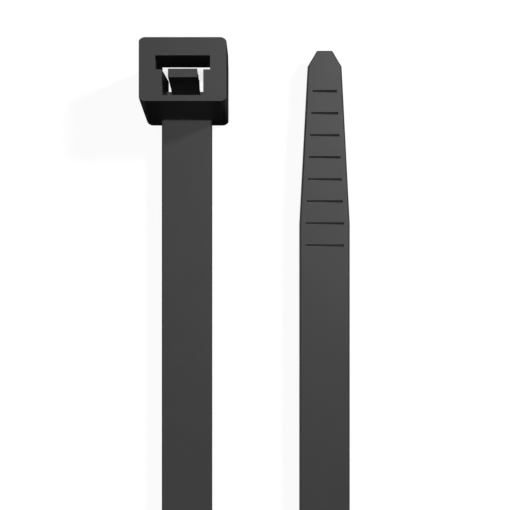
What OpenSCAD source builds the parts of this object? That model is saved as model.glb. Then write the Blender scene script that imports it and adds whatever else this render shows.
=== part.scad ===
// Cable tie: one nylon moulding, bent into a U, so that its head and its tail lie side by side.
//
// The tie lies on its toothed side. Both legs run along X, with the head and the tip at +X and the
// turn at -X. +Z is the smooth outer side, and the side of the head where a tail comes out.
// The origin is the middle of the space that the tie takes up, on the surface that it lies on.

/* [Strap] */
// Length along the strap, from the head's far end to the tip of the tail
tie_l = 200; // [180:5:300]
// Width of the strap
strap_w = 4.8; // [4.4:0.1:5.2]
// Thickness of the strap over its teeth
strap_t = 1.2; // [1.1:0.05:1.3]
// Thickness of the smooth margins beside the toothed band
margin_t = 0.58; // [0.5:0.01:0.58]
// Chamfer along the strap's long edges
edge_c = 0.15; // [0.05:0.01:0.16]
// Fillet on the outer side, where the strap leaves the head
root_r = 0.12; // [0.08:0.01:0.5]

/* [Turn] */
// Distance between the middles of the two legs
leg_pitch = 13.14; // [12:0.01:24]
// Length in which the strap twists from lying flat to standing on edge
twist_l = 40; // [30:1:50]
// How far the tip of the tail reaches past the head's far end
tip_lead = 0.9; // [0:0.01:6]

/* [Teeth] */
// Spacing of the teeth along the strap
tooth_pitch = 1.2; // [1.1:0.05:1.4]
// Height of the teeth
tooth_h = 0.4; // [0.3:0.05:0.45]
// Length of each tooth's steep face along the strap
tooth_steep = 0.15; // [0.1:0.05:0.3]
// Width of the toothed band
band_w = 3; // [2.8:0.05:3.2]
// Smooth length between the head and the first tooth
plain_root = 8; // [5:0.5:20]
// Length of the smooth tail, from the tip to where the toothed band starts
plain_tail = 31.46; // [22:0.02:40]

/* [Tail] */
// Width of the flat end of the tip
tip_w = 1.5; // [1:0.1:2.5]
// Length of the tip, from its flat end to its shoulders
tip_l = 1.47; // [1:0.01:3]
// Width across the shoulders of the tip
shoulder_w = 3.24; // [2.8:0.01:4]
// Length of the taper, from the shoulders to the full width
taper_l = 14.95; // [10:0.05:20]
// Thickness of the smooth tail
tail_t = 0.85; // [0.8:0.05:1]
// Thickness of the tail at its tip
tip_t = 0.7; // [0.65:0.05:0.8]
// Chamfer along the underside of the smooth tail
tail_c = 0.45; // [0.2:0.05:0.45]
// Number of grip lines across the tail
grip_count = 8; // [4:1:8]
// Spacing of the grip lines
grip_pitch = 2.1; // [1.5:0.05:2.2]
// Distance of the first grip line from the tip
grip_start = 3.9; // [3:0.1:6]
// Width of each grip line at the surface
grip_w = 0.24; // [0.15:0.01:0.4]
// Depth of each grip line
grip_d = 0.22; // [0.1:0.01:0.3]
// Distance from the ends of a grip line to the strap's edge
grip_margin = 0.58; // [0.4:0.01:0.8]

/* [Head] */
// Width of the head's upper face
head_w = 7.86; // [7.2:0.02:10]
// Length of the head along the strap
head_l = 5.74; // [5.6:0.02:8]
// Height of the head
head_h = 5; // [4.8:0.1:6]
// Radius of the head's four upright corners
head_r = 0.65; // [0.3:0.05:0.9]
// Height of the parting line, where the head is widest
parting_z = 3; // [2:0.1:4]
// Draft of the head's sides: how far the parting line stands out
parting_out = 0.09; // [0.03:0.01:0.15]
// Thickness of the wall between the strap and the window
root_wall = 0.54; // [0.45:0.01:0.8]
// Thickness of the far wall, where the tail comes out
far_wall = 1.64; // [1.5:0.02:1.8]
// Height of the upright part of the far wall, above the entry ramp
far_straight = 2.1; // [1.8:0.05:2.1]
// Flat land under the far wall
far_land = 0.3; // [0.2:0.05:0.5]
// Slope of the entry ramp, from upright
ramp_angle = 32; // [31:0.5:36]
// Slope of the ledges that lead the margins in, from upright
ledge_angle = 15.8; // [13:0.2:15.8]
// Clearance round the strap in its channel
slot_gap = 0.06; // [0.03:0.01:0.15]

/* [Pawl] */
// Clearance between each side of the pawl and the edge of the toothed band
pawl_gap = 0.185; // [0.1:0.005:0.3]
// Open slit on each side of the pawl
slit_w = 0.54; // [0.4:0.01:0.6]
// Reach of the pawl's first tooth into the channel
pawl_reach = 0.1; // [0:0.01:0.15]
// Thickness of the pawl at its free end
pawl_tip_t = 0.78; // [0.65:0.01:0.9]
// Set-back of the pawl's free end from the head's upper face
pawl_inset = 0.05; // [0:0.05:0.3]
// Slope of the line through the pawl's tooth tips, into the channel
pawl_lean = 5; // [0:0.5:8]
// Number of teeth on the pawl
pawl_teeth = 3; // [2:1:3]
// Length of the pawl below its last tooth
pawl_foot = 0.45; // [0.3:0.05:0.6]
// Thickness of the hinge that the pawl bends on
hinge_t = 0.5; // [0.4:0.05:0.7]
// Length of the hinge, down to its block
hinge_l = 0.8; // [0.5:0.05:1]
// Reach of the hinge block from the head's strap side
block_l = 2.64; // [2.3:0.02:2.7]
// Distance from the front of the hinge block to the hinge
hinge_back = 0.12; // [0.1:0.01:0.5]
// Lead-in on the entry edge of the hinge block
block_c = 0.4; // [0.2:0.05:0.6]

/* [Hidden] */
nylon = [0.27, 0.27, 0.28];
$fn = 48;
// Overshoot of a cut past the face that it opens
past = 1;
// Depth to which one form is let into the next
weld = 0.2;

// The U: its turn, and the straight stretch on each side
turn_r = leg_pitch / 2;
turn_l = PI * turn_r;
side_l = snap((tie_l - tip_lead - turn_l) / 2);
turn_x = snap((turn_r + strap_t / 2 - side_l - tip_lead) / 2);
flat_x = turn_x + twist_l;
head_x = turn_x + side_l - head_l;
tip_x = turn_x + side_l + tip_lead;
head_y = snap((leg_pitch + strap_w / 2 - head_w / 2 - parting_out) / 2);
tail_y = head_y - leg_pitch;
turn_y = head_y - turn_r;

// The head's window and channel, as distances from the head's strap side
pawl_w = band_w - 2 * pawl_gap;
window_w = pawl_w + 2 * slit_w;
slot_w = strap_w + 2 * slot_gap;
far_x = head_l - far_wall;
ledge_x = far_x - strap_t - slot_gap;
ledge_foot_x = ledge_x + (head_h + past) * tan(ledge_angle);
ramp_z = head_h - far_straight;
land_x = head_l - far_land;
land_z = ramp_z - (land_x - far_x) / tan(ramp_angle);
pawl_top = head_h - pawl_inset;
hinge_top = pawl_top - (pawl_teeth - 1) * tooth_pitch - pawl_foot;
block_h = hinge_top - hinge_l;

// The tail's outline: distance from the tip, and width there
tail_widths = [[0, tip_w], [tip_l, shoulder_w], [tip_l + taper_l, strap_w]];
// The height of its underside: distance from the tip, and height there
tail_feet = [[0, strap_t - tip_t], [tip_l + taper_l, strap_t - tail_t]];
tail_l = tip_x - flat_x;

// Lengths that plan positions are rounded to, so that joined faces meet exactly
function snap(v) = round(v * 100) / 100;
function smooth(v) = v * v * (3 - 2 * v);

// The teeth's outline as [distance, height over the tooth tips], from foot to foot
function saw(count, pitch) = [
    for (i = [0:count - 1], step = [0:2])
        [
            i * pitch + [0, tooth_steep, (tooth_steep + pitch) / 2][step],
            tooth_h * [1, 0, 0.5][step]
        ],
    [count * pitch, tooth_h]
];

// The strap's section as [across, outwards] from its middle, with the toothed band d over the tips
function section(d) =
    let (a = strap_w / 2, b = strap_t / 2, m = b - margin_t, t = band_w / 2)
    [
        [-a, m + edge_c], [-a, b - edge_c], [edge_c - a, b], [a - edge_c, b],
        [a, b - edge_c], [a, m + edge_c], [a - edge_c, m], [t, m],
        [t, d - b], [-t, d - b], [-t, m], [edge_c - a, m]
    ];

// One point of the strap's surface: s along the turn, and p across the section.
// The roll goes from 0, lying flat, to 90, on edge. The lowest corner stays on the ground.
function lift(roll) = strap_t / 2 * cos(roll) + strap_w / 2 * sin(roll);
function on_leg(s, side, p) =
    let (roll = 90 * smooth(s / twist_l), y = side > 0 ? head_y : tail_y)
    [
        flat_x - s,
        y + p.x * cos(roll) + side * p.y * sin(roll),
        lift(roll) + p.y * cos(roll) - side * p.x * sin(roll)
    ];
function on_bend(angle, p) = [
    turn_x - (turn_r + p.y) * sin(angle),
    turn_y + (turn_r + p.y) * cos(angle),
    lift(90) - p.x
];
function on_turn(s, p) =
    s < twist_l ? on_leg(s, 1, p)
    : s > twist_l + turn_l ? on_leg(2 * twist_l + turn_l - s, -1, [-p.x, p.y])
    : on_bend((s - twist_l) / turn_r * 180 / PI, p);

// A solid through rings of points, with its end faces given in convex pieces
module skin(rings, ends) {
    n = len(rings[0]);
    last = len(rings) - 1;
    polyhedron(
        points = [for (ring = rings, p = ring) p],
        faces = [
            for (end = ends) end,
            for (i = [0:last - 1], j = [0:n - 1])
                let (a = i * n + j, b = i * n + (j + 1) % n)
                each [[a, a + n, b + n], [a, b + n, b]],
            for (end = ends) [for (j = [len(end) - 1:-1:0]) last * n + end[j]]
        ]
    );
}

// The toothed strap, swept from the head's leg through twist, bend and twist to the tail's leg
module toothed_turn() {
    length = 2 * twist_l + turn_l;
    count = round(length / tooth_pitch);
    // The end faces are a margin, the middle, the other margin and the band
    skin(
        [for (ring = saw(count, length / count)) [for (p = section(ring.y)) on_turn(ring.x, p)]],
        [[10, 11, 0, 1, 2], [2, 3, 7, 10], [3, 4, 5, 6, 7], [7, 8, 9, 10]]
    );
}

// Draws a profile of [along X, height] at a width across the tie
module across(width) {
    rotate([90, 0, 0])
        linear_extrude(width, center = true)
            children();
}

// A flat strap along X from x = 0, where a tooth has its foot, with teeth over the first stretch.
// The steep faces look back along the strap, towards the head.
module flat_strap(length, toothed_l, head_side) {
    count = floor(toothed_l / tooth_pitch);
    feet = saw(count, tooth_pitch);
    end = count * tooth_pitch;
    teeth = head_side ? [for (i = [len(feet) - 1:-1:0]) [end - feet[i].x, feet[i].y]] : feet;
    a = strap_w / 2;
    low = strap_t - margin_t;
    across(band_w)
        polygon([[0, low + weld], each teeth, [end, 0], [length, 0], [length, low + weld]]);
    rotate([90, 0, 90])
        linear_extrude(length)
            polygon([
                [-a, low + edge_c], [edge_c - a, low], [a - edge_c, low], [a, low + edge_c],
                [a, strap_t - edge_c], [a - edge_c, strap_t], [edge_c - a, strap_t], [-a, strap_t - edge_c]
            ]);
}

// The leg that comes from the head, with the fillet at its root
module head_leg() {
    length = head_x - flat_x;
    translate([flat_x, head_y, 0]) {
        flat_strap(length + weld, length - plain_root, true);
        translate([length, 0, strap_t])
            across(strap_w - 2 * edge_c)
                difference() {
                    translate([-root_r, -weld])
                        square(root_r + weld);
                    translate([-root_r, root_r])
                        circle(root_r);
                }
    }
}

// One grip line: a narrow groove with sloping walls, at the strap's outer face
module grip_line(width) {
    across(width)
        polygon([
            [-grip_w / 2, past], [-grip_w / 2, 0], [-grip_w / 4, -grip_d],
            [grip_w / 4, -grip_d], [grip_w / 2, 0], [grip_w / 2, past]
        ]);
}

// The tail's chamfered section at distance d from its tip, set back from both faces
function tail_section(d, set_back = 0) =
    let (
        a = lookup(d, tail_widths) / 2,
        c = edge_c - set_back,
        foot_c = tail_c - set_back,
        low = lookup(d, tail_feet) + set_back,
        high = strap_t - set_back
    )
    [
        for (p = [
            [-a, low + foot_c], [-a, high - c], [c - a, high], [a - c, high],
            [a, high - c], [a, low + foot_c], [a - foot_c, low], [foot_c - a, low]
        ])
            [tail_l - d, p.x, p.y]
    ];

// The leg that ends in the smooth tail: full width, a taper and a blunt tip, thinner towards the tip
module tail_leg() {
    toothed_l = tail_l - plain_tail;
    translate([flat_x, tail_y, 0]) {
        flat_strap(toothed_l, toothed_l, false);
        difference() {
            skin(
                [
                    tail_section(0, edge_c / 2),
                    for (d = [edge_c, tip_l, tip_l + taper_l, plain_tail + weld]) tail_section(d)
                ],
                [[for (i = [0:7]) i]]
            );
            for (i = [0:grip_count - 1])
                let (d = grip_start + i * grip_pitch)
                translate([tail_l - d, 0, strap_t])
                    grip_line(lookup(d, tail_widths) - 2 * grip_margin);
        }
    }
}

// The head's outline from above, from its strap side at x = 0, at its widest
module head_outline() {
    width = head_w + 2 * parting_out;
    translate([head_r, -width / 2])
        square([head_l - 2 * head_r, width]);
    translate([0, head_r - width / 2])
        square([head_l, width - 2 * head_r]);
    for (x = [head_r, head_l - head_r], y = [head_r - width / 2, width / 2 - head_r])
        translate([x, y])
            circle(head_r);
}

// The head without its window: its sides slope back above and below the parting line
module head_block() {
    a = head_w / 2;
    intersection() {
        linear_extrude(head_h)
            head_outline();
        translate([-past, 0, 0])
            rotate([90, 0, 90])
                linear_extrude(head_l + 2 * past)
                    polygon([
                        [-a, 0], [a, 0], [a + parting_out, parting_z],
                        [a, head_h], [-a, head_h], [-a - parting_out, parting_z]
                    ]);
    }
}

// The way of the strap through the head: in at the far end's foot, up the ramp and out at the top
module channel() {
    across(slot_w)
        polygon([
            [ledge_x - past * tan(ledge_angle), head_h + past], [far_x, head_h + past], [far_x, ramp_z],
            [land_x, land_z], [head_l + past, land_z], [head_l + past, -past], [ledge_foot_x, -past]
        ]);
}

// The room in which the pawl bends, down to its hinge block
module window() {
    across(window_w)
        polygon([
            [root_wall, head_h + past], [ledge_x + weld, head_h + past], [ledge_foot_x + weld, -past],
            [block_l - block_c - past, -past], [block_l, block_c], [block_l, block_h], [root_wall, block_h]
        ]);
}

// The pawl: a tongue that stands on its hinge, with teeth towards the channel
module pawl() {
    hinge_x = block_l - hinge_back;
    reach_x = ledge_x + pawl_reach;
    // Tooth tips, one for each tooth from the free end, and the feet between them
    tips = [for (i = [0:pawl_teeth - 1]) [reach_x + i * tooth_pitch * tan(pawl_lean), pawl_top - i * tooth_pitch]];
    across(pawl_w)
        polygon([
            tips[0],
            for (i = [1:pawl_teeth - 1]) each [tips[i] + [-tooth_h, tooth_steep], tips[i]],
            [hinge_x, hinge_top],
            [hinge_x, block_h - weld],
            [hinge_x - hinge_t, block_h - weld],
            [hinge_x - hinge_t, hinge_top],
            [reach_x - pawl_tip_t, hinge_top + pawl_foot],
            [reach_x - pawl_tip_t, pawl_top]
        ]);
}

// The head, with the pawl in its window
module head() {
    translate([head_x, head_y, 0]) {
        difference() {
            head_block();
            channel();
            window();
        }
        pawl();
    }
}

module cable_tie() {
    color(nylon) {
        head();
        head_leg();
        toothed_turn();
        tail_leg();
    }
}

cable_tie();
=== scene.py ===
# %% [markdown]
# # A nylon cable tie, bent into a U
#
# The object is one black nylon moulding, 200 mm long: a head with a small pawl in its window, a strap
# with teeth on its hidden side, and a tapered tail with grip lines. It lies on a table, bent so that
# head and tail are side by side. The exact solid comes ready made from the CAD program. What is left
# for Blender is what the eye needs: edges that a mould would leave, a nylon that looks moulded, the
# camera of the photograph and soft light.

# %% Load the fixed frame
import math

import bmesh
import bpy
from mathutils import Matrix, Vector


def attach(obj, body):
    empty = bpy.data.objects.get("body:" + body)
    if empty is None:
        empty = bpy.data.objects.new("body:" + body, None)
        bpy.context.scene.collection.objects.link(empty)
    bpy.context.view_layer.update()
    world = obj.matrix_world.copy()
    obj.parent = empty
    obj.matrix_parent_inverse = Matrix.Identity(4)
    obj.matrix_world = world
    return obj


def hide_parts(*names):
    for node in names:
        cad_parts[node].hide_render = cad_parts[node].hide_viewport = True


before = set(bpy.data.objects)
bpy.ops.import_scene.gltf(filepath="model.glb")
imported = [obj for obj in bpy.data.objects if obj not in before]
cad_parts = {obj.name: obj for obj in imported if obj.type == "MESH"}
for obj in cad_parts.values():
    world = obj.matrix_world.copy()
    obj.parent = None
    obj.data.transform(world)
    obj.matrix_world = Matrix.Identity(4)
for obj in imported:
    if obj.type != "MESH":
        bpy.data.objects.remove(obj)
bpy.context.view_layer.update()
MM = 0.001


print("frame nodes:", sorted(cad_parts))

# %% [markdown]
# ## The camera
#
# In the photograph each face that looks up has one scale all over, and the upright walls of the head
# all point at one spot, low in the picture. So the camera looked straight down, from about 66 mm, and
# the picture is the upper part of a larger one. A shifted lens does the same: the camera stands over
# that spot, and the picture is taken further up. Up in the picture is +X, and right is -Y.

# %% The camera, straight over the point where the upright lines meet
IMAGE_PX = 510
FOCAL_PX = 678.5
MEETING_POINT_DOWN_PX = 425.5
CAMERA_PLACE = (12.93 * MM, -0.735 * MM, 65.8 * MM)
SENSOR_MM = 36.0
NEAREST_SEEN = 1 * MM
X_IS_UP = math.radians(-90)


def add_object(name, data):
    """A new object with this data, in the scene."""
    made = bpy.data.objects.new(name, data)
    bpy.context.scene.collection.objects.link(made)
    return made


camera_data = bpy.data.cameras.new("over_the_tie")
camera_data.sensor_width = SENSOR_MM
camera_data.lens = FOCAL_PX / IMAGE_PX * SENSOR_MM
camera_data.shift_y = (MEETING_POINT_DOWN_PX - IMAGE_PX / 2) / IMAGE_PX
camera_data.clip_start = NEAREST_SEEN
camera = add_object("over_the_tie", camera_data)
camera.location = CAMERA_PLACE
camera.rotation_euler = (0, 0, X_IS_UP)
bpy.context.scene.camera = camera
print("lens", round(camera_data.lens, 2), "mm, shift", round(camera_data.shift_y, 4))

# %% [markdown]
# ## The moulding
#
# A solid from CAD has edges as sharp as mathematics, and no moulded edge is: steel moulds are worn and
# polished, and the nylon shrinks away from their corners. A bevel by hand would take days on hundreds
# of teeth. So the exact mesh is copied, its loose triangles are merged into one skin, flat faces are
# joined, and one narrow bevel goes along every edge that is sharp enough to be a real one. A merge can
# leave a needle-thin triangle that hangs on one edge only, so what is open after it is deleted.

# %% Copy the exact mesh and merge its loose triangles
MERGE = 0.0005 * MM


def deselect_all():
    if bpy.context.mode != "OBJECT":
        bpy.ops.object.mode_set(mode="OBJECT")
    bpy.ops.object.select_all(action="DESELECT")


def work_on(piece):
    deselect_all()
    piece.select_set(True)
    bpy.context.view_layer.objects.active = piece


def counts(piece):
    """(faces, edges that don't have two faces, volume in cubic mm) of a piece."""
    mesh = bmesh.new()
    mesh.from_mesh(piece.data)
    open_edges = sum(len(edge.link_faces) != 2 for edge in mesh.edges)
    result = (len(mesh.faces), open_edges, round(mesh.calc_volume() / MM**3, 2))
    mesh.free()
    return result


tie = add_object("tie_moulding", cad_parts["cable_tie"].data.copy())
work_on(tie)
bpy.ops.object.mode_set(mode="EDIT")
bpy.ops.mesh.select_all(action="SELECT")
bpy.ops.mesh.customdata_custom_splitnormals_clear()
bpy.ops.mesh.remove_doubles(threshold=MERGE)
bpy.ops.mesh.select_mode(type="VERT")
bpy.ops.mesh.select_all(action="DESELECT")
bpy.ops.mesh.select_non_manifold(
    extend=False, use_multi_face=False, use_non_contiguous=False, use_verts=False
)
bpy.ops.mesh.delete(type="FACE")
bpy.ops.object.mode_set(mode="OBJECT")
print("merged skin: faces, open edges, volume:", counts(tie))

# %% Join the flat faces
FLAT = math.radians(0.2)

bpy.ops.object.mode_set(mode="EDIT")
bpy.ops.mesh.select_all(action="SELECT")
bpy.ops.mesh.dissolve_limited(angle_limit=FLAT, delimit=set())
bpy.ops.object.mode_set(mode="OBJECT")
print("joined skin: faces, open edges, volume:", counts(tie))

# %% Round the moulded edges
EDGE = 0.02 * MM
EDGE_SEGMENTS = 2
REAL_EDGE = math.radians(28)

rounding = tie.modifiers.new("moulded_edges", "BEVEL")
rounding.width = EDGE
rounding.segments = EDGE_SEGMENTS
rounding.limit_method = "ANGLE"
rounding.angle_limit = REAL_EDGE
rounding.use_clamp_overlap = False
rounding.loop_slide = False  # new corners stay beside their edge, where slim triangles meet it
bpy.ops.object.modifier_apply(modifier=rounding.name)
print("rounded skin: faces, open edges, volume:", counts(tie))

# %% Shade it smooth, with flat faces kept flat
SMOOTH_UP_TO = math.radians(50)
LARGE_FACES_LEAD = 100

bpy.ops.object.shade_smooth_by_angle(angle=SMOOTH_UP_TO)
weighing = tie.modifiers.new("flat_faces_stay_flat", "WEIGHTED_NORMAL")
weighing.keep_sharp = True
weighing.weight = LARGE_FACES_LEAD
bpy.ops.object.modifier_apply(modifier=weighing.name)
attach(tie, "root")
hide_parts("cable_tie")
print("tie:", len(tie.data.polygons), "faces")

# %% [markdown]
# ## Writing shaders
#
# A shader is a small sum, so it reads best as one. The first class below wraps an output socket. Plus,
# minus and times on it add Math nodes. The second holds a material's nodes, and everything else comes
# from its one method that adds any node. Two kinds of node come again and again, a noise and a soft
# step from 0 to 1, so each has a short name.

# %% Shader arithmetic
class Wire:
    """One output socket of a node tree."""

    def __init__(self, finish, socket):
        self.finish = finish
        self.socket = socket

    def beside(self, name):
        """Another output of the same node."""
        return Wire(self.finish, self.socket.node.outputs[name])

    def _math(self, operation, first, second):
        return self.finish.node("ShaderNodeMath", {"operation": operation}, {0: first, 1: second})

    def __add__(self, other):
        return self._math("ADD", self, other)

    def __sub__(self, other):
        return self._math("SUBTRACT", self, other)

    def __rsub__(self, other):
        return self._math("SUBTRACT", other, self)

    def __mul__(self, other):
        return self._math("MULTIPLY", self, other)

    __radd__ = __add__
    __rmul__ = __mul__


# %% The nodes of one finish
class Finish:
    """The node tree of one material or world."""

    def __init__(self, owner):
        owner.use_nodes = True
        self.tree = owner.node_tree
        self.tree.nodes.clear()

    def node(self, kind, settings=None, sockets=None, out=0):
        """Adds a node: its settings first, then the values or links of its sockets."""
        made = self.tree.nodes.new(kind)
        for name, value in (settings or {}).items():
            setattr(made, name, value)
        for name, value in (sockets or {}).items():
            if isinstance(value, Wire):
                self.tree.links.new(value.socket, made.inputs[name])
            else:
                made.inputs[name].default_value = value
        return Wire(self, made.outputs[out]) if made.outputs else made

    def noise(self, place, per_mm, detail, roughness=0.5):
        """A noise with about per_mm spots in a millimetre."""
        sockets = {"Vector": place, "Scale": per_mm / MM, "Detail": detail, "Roughness": roughness}
        return self.node("ShaderNodeTexNoise", {}, sockets)

    def soft_step(self, value, start, end):
        """0 up to start, 1 from end on, and a smooth rise between them."""
        sockets = {"Value": value, "From Min": start, "From Max": end}
        return self.node("ShaderNodeMapRange", {"interpolation_type": "SMOOTHSTEP"}, sockets)


# %% [markdown]
# ## Black nylon
#
# Black nylon is a very dark grey plastic with a satin gloss from the mould. Two things would be wrong
# with one flat colour: the real one is never quite even, because it cools unevenly, and its gloss is
# broken up by the grain of the steel. So a slow mottle and a fine grain vary the colour and the
# roughness, and a shallow relief bends the gloss a little.

# %% The patterns of the mould and of the cooling
nylon = bpy.data.materials.new("nylon_black_satin")
finish = Finish(nylon)
place = finish.node("ShaderNodeTexCoord", out="Object")
mottle = finish.noise(place, per_mm=0.45, detail=3.0, roughness=0.6)
grain = finish.noise(place, per_mm=9, detail=2.0)
waves = finish.noise(place, per_mm=0.25, detail=1.0)
print("patterns of the nylon:", len(finish.tree.nodes) - 1)

# %% The nylon
NYLON_DARK = (0.045, 0.045, 0.0455, 1)
NYLON_PALE = (0.052, 0.052, 0.0525, 1)
COLOUR_BY_MOTTLE = 0.7
COLOUR_BY_GRAIN = 0.3
SATIN_ROUGHNESS = 0.425
ROUGHER_BY_MOTTLE = 0.06
ROUGHER_BY_GRAIN = 0.04
RELIEF_STRENGTH = 0.2
RELIEF_DEPTH = 0.01 * MM
WAVES_TO_GRAIN = 3.0
NYLON_IOR = 1.53
MIX_FACTOR, MIX_FIRST, MIX_SECOND, MIX_OUT = 0, 6, 7, 2  # a Mix node's sockets for colours

colour = finish.node(
    "ShaderNodeMix",
    {"data_type": "RGBA"},
    {
        MIX_FACTOR: mottle * COLOUR_BY_MOTTLE + grain * COLOUR_BY_GRAIN,
        MIX_FIRST: NYLON_DARK,
        MIX_SECOND: NYLON_PALE,
    },
    out=MIX_OUT,
)
relief = finish.node(
    "ShaderNodeBump",
    {},
    {
        "Strength": RELIEF_STRENGTH,
        "Distance": RELIEF_DEPTH,
        "Height": grain + waves * WAVES_TO_GRAIN,
    },
)
skin = finish.node(
    "ShaderNodeBsdfPrincipled",
    {},
    {
        "Base Color": colour,
        "Roughness": SATIN_ROUGHNESS + mottle * ROUGHER_BY_MOTTLE + grain * ROUGHER_BY_GRAIN,
        "Normal": relief,
        "IOR": NYLON_IOR,
    },
)
finish.node("ShaderNodeOutputMaterial", {}, {"Surface": skin})
tie.data.materials.clear()
tie.data.materials.append(nylon)
print("nylon:", len(finish.tree.nodes), "nodes")

# %% [markdown]
# ## The floor
#
# The photograph's ground is plain white, and a floor that the lamps alone make white would need lamps
# that also bleach the tie. So the floor is white by its own glow, as far as the camera sees it, with
# a little lit paper in the sum, which is what keeps the shadows. Far from the tie the lit paper fades
# out, so that the floor meets the white behind it without a line. The tie itself sees a dark floor,
# because in the photograph no pale floor lights its walls.

# %% The floor's sheet
FLOOR_RADIUS = 0.9
FLOOR_CORNERS = 96

bpy.ops.mesh.primitive_circle_add(
    vertices=FLOOR_CORNERS, radius=FLOOR_RADIUS, fill_type="NGON", location=(0, 0, 0)
)
floor = bpy.context.object
floor.name = "floor"
print("floor:", FLOOR_RADIUS, "m from its middle to its edge")

# %% The floor's paper
FLOOR_GLOW = 0.82
FLOOR_LIT = (0.22, 0.22, 0.22, 1)
FLOOR_SEEN_BY_TIE = (0.01, 0.01, 0.01, 1)
WHITE = (1, 1, 1, 1)
LIT_UP_TO = 0.13
WHITE_FROM = 0.4

paper = bpy.data.materials.new("pale_floor")
finish = Finish(paper)
camera_ray = finish.node("ShaderNodeLightPath", out="Is Camera Ray")
place = finish.node("ShaderNodeTexCoord", out="Object")
away = finish.node("ShaderNodeVectorMath", {"operation": "LENGTH"}, {0: place}, out="Value")
fade = finish.soft_step(away, LIT_UP_TO, WHITE_FROM)
glow = finish.node("ShaderNodeEmission", {}, {"Color": WHITE, "Strength": FLOOR_GLOW})
lit = finish.node("ShaderNodeBsdfDiffuse", {}, {"Color": FLOOR_LIT})
near = finish.node("ShaderNodeAddShader", {}, {0: glow, 1: lit})
far_off = finish.node("ShaderNodeEmission", {}, {"Color": WHITE, "Strength": 1.0})
shown = finish.node("ShaderNodeMixShader", {}, {0: fade, 1: near, 2: far_off})
dark = finish.node("ShaderNodeBsdfDiffuse", {}, {"Color": FLOOR_SEEN_BY_TIE})
seen_white = camera_ray + camera_ray.beside("Is Transmission Ray")
mixed = finish.node("ShaderNodeMixShader", {}, {0: seen_white, 1: dark, 2: shown})
finish.node("ShaderNodeOutputMaterial", {}, {"Surface": mixed})
floor.data.materials.append(paper)
print("paper:", len(finish.tree.nodes), "nodes")

# %% [markdown]
# ## The room
#
# The room is the world's background. The camera sees it white, and the gloss of the tie sees a white
# wall along the horizon, on the left of the picture, as a studio's pale wall would be. In the
# photograph the left edges of the tie are paler than the right ones, and that wall does it. It also
# gives shape to the sides of the tie in low views. All else of the room is dim, so that the lamps
# alone make the light.

# %% The world: white to the camera, a pale wall to the gloss, dim to the rest
ROOM = (0.008, 0.008, 0.008, 1)
WALL_TOP = 0.3
WALL_FADE = 0.6
WALL_RIGHT_END = -0.4
WALL_LEFT_END = 0.6

world = bpy.data.worlds.new("studio")
bpy.context.scene.world = world
finish = Finish(world)
camera_ray = finish.node("ShaderNodeLightPath", out="Is Camera Ray")
direction = finish.node("ShaderNodeTexCoord", out="Generated")
height = finish.node("ShaderNodeSeparateXYZ", {}, {0: direction}, out="Z")
high = finish.soft_step(height, WALL_TOP, WALL_FADE)
left = finish.soft_step(height.beside("Y"), WALL_RIGHT_END, WALL_LEFT_END)
wall = camera_ray.beside("Is Glossy Ray") * (1 - high) * left
seen_white = camera_ray + camera_ray.beside("Is Transmission Ray") + wall
room = finish.node("ShaderNodeBackground", {}, {"Color": ROOM, "Strength": 1.0})
white = finish.node("ShaderNodeBackground", {}, {"Color": WHITE, "Strength": 1.0})
mixed = finish.node("ShaderNodeMixShader", {}, {0: seen_white, 1: room, 2: white})
finish.node("ShaderNodeOutputWorld", {}, {"Surface": mixed})
print("world:", len(finish.tree.nodes), "nodes")

# %% [markdown]
# ## The lamps
#
# In the photograph every face that looks up is grey, brightest towards the top right, and every wall
# is nearly black. Beside the head a soft shadow lies slantwise over the strap. So there are three
# lamps. One straight overhead gives most of the plastic's own colour and leaves the walls dark. A low
# one from the right gives the rest, and the head's shadow on the strap. These two don't show in the
# gloss. Together they light a white card to just short of white, so a colour renders about as it is
# written. The third, from the top right, shows only in the gloss, and is the sheen.

# %% The lamps
AIMED_AT = (20 * MM, 0, 0)


def soft_box(name, towards, far, size, power, sheen_only=False):
    """A round soft box, turned to the tie from far metres away in the direction towards.

    It lights the plastic's own colour and throws a shadow, or it shows in the gloss only.
    """
    data = bpy.data.lights.new(name, "AREA")
    data.shape = "DISK"
    data.size = size
    data.energy = power
    data.use_shadow = not sheen_only
    lamp = add_object(name, data)
    direction = Vector(towards).normalized()
    lamp.location = Vector(AIMED_AT) + far * direction
    lamp.rotation_euler = direction.to_track_quat("Z", "Y").to_euler()
    lamp.visible_camera = False
    lamp.visible_glossy = sheen_only
    lamp.visible_diffuse = not sheen_only
    card = 0 if sheen_only else power / (math.pi * far**2) * direction.z / math.pi
    print(name, "at", [round(c, 3) for c in lamp.location], "white card", round(card, 3))


soft_box("overhead", towards=(0, 0, 1), far=0.6, size=0.05, power=2.15)
soft_box("low_side", towards=(0.73, -1.55, 1), far=0.8, size=0.1, power=3.6)
soft_box("sheen", towards=(0.622, -0.398, 1), far=1.0, size=0.25, power=3.35, sheen_only=True)

# %% [markdown]
# ## Colours
#
# A filmic view would turn the white floor grey and shift the tie's own grey, so the plain one is used.
# Blender dresses the tie and must not change its size.

# %% Colours as they are
bpy.context.scene.view_settings.view_transform = "Standard"
deselect_all()
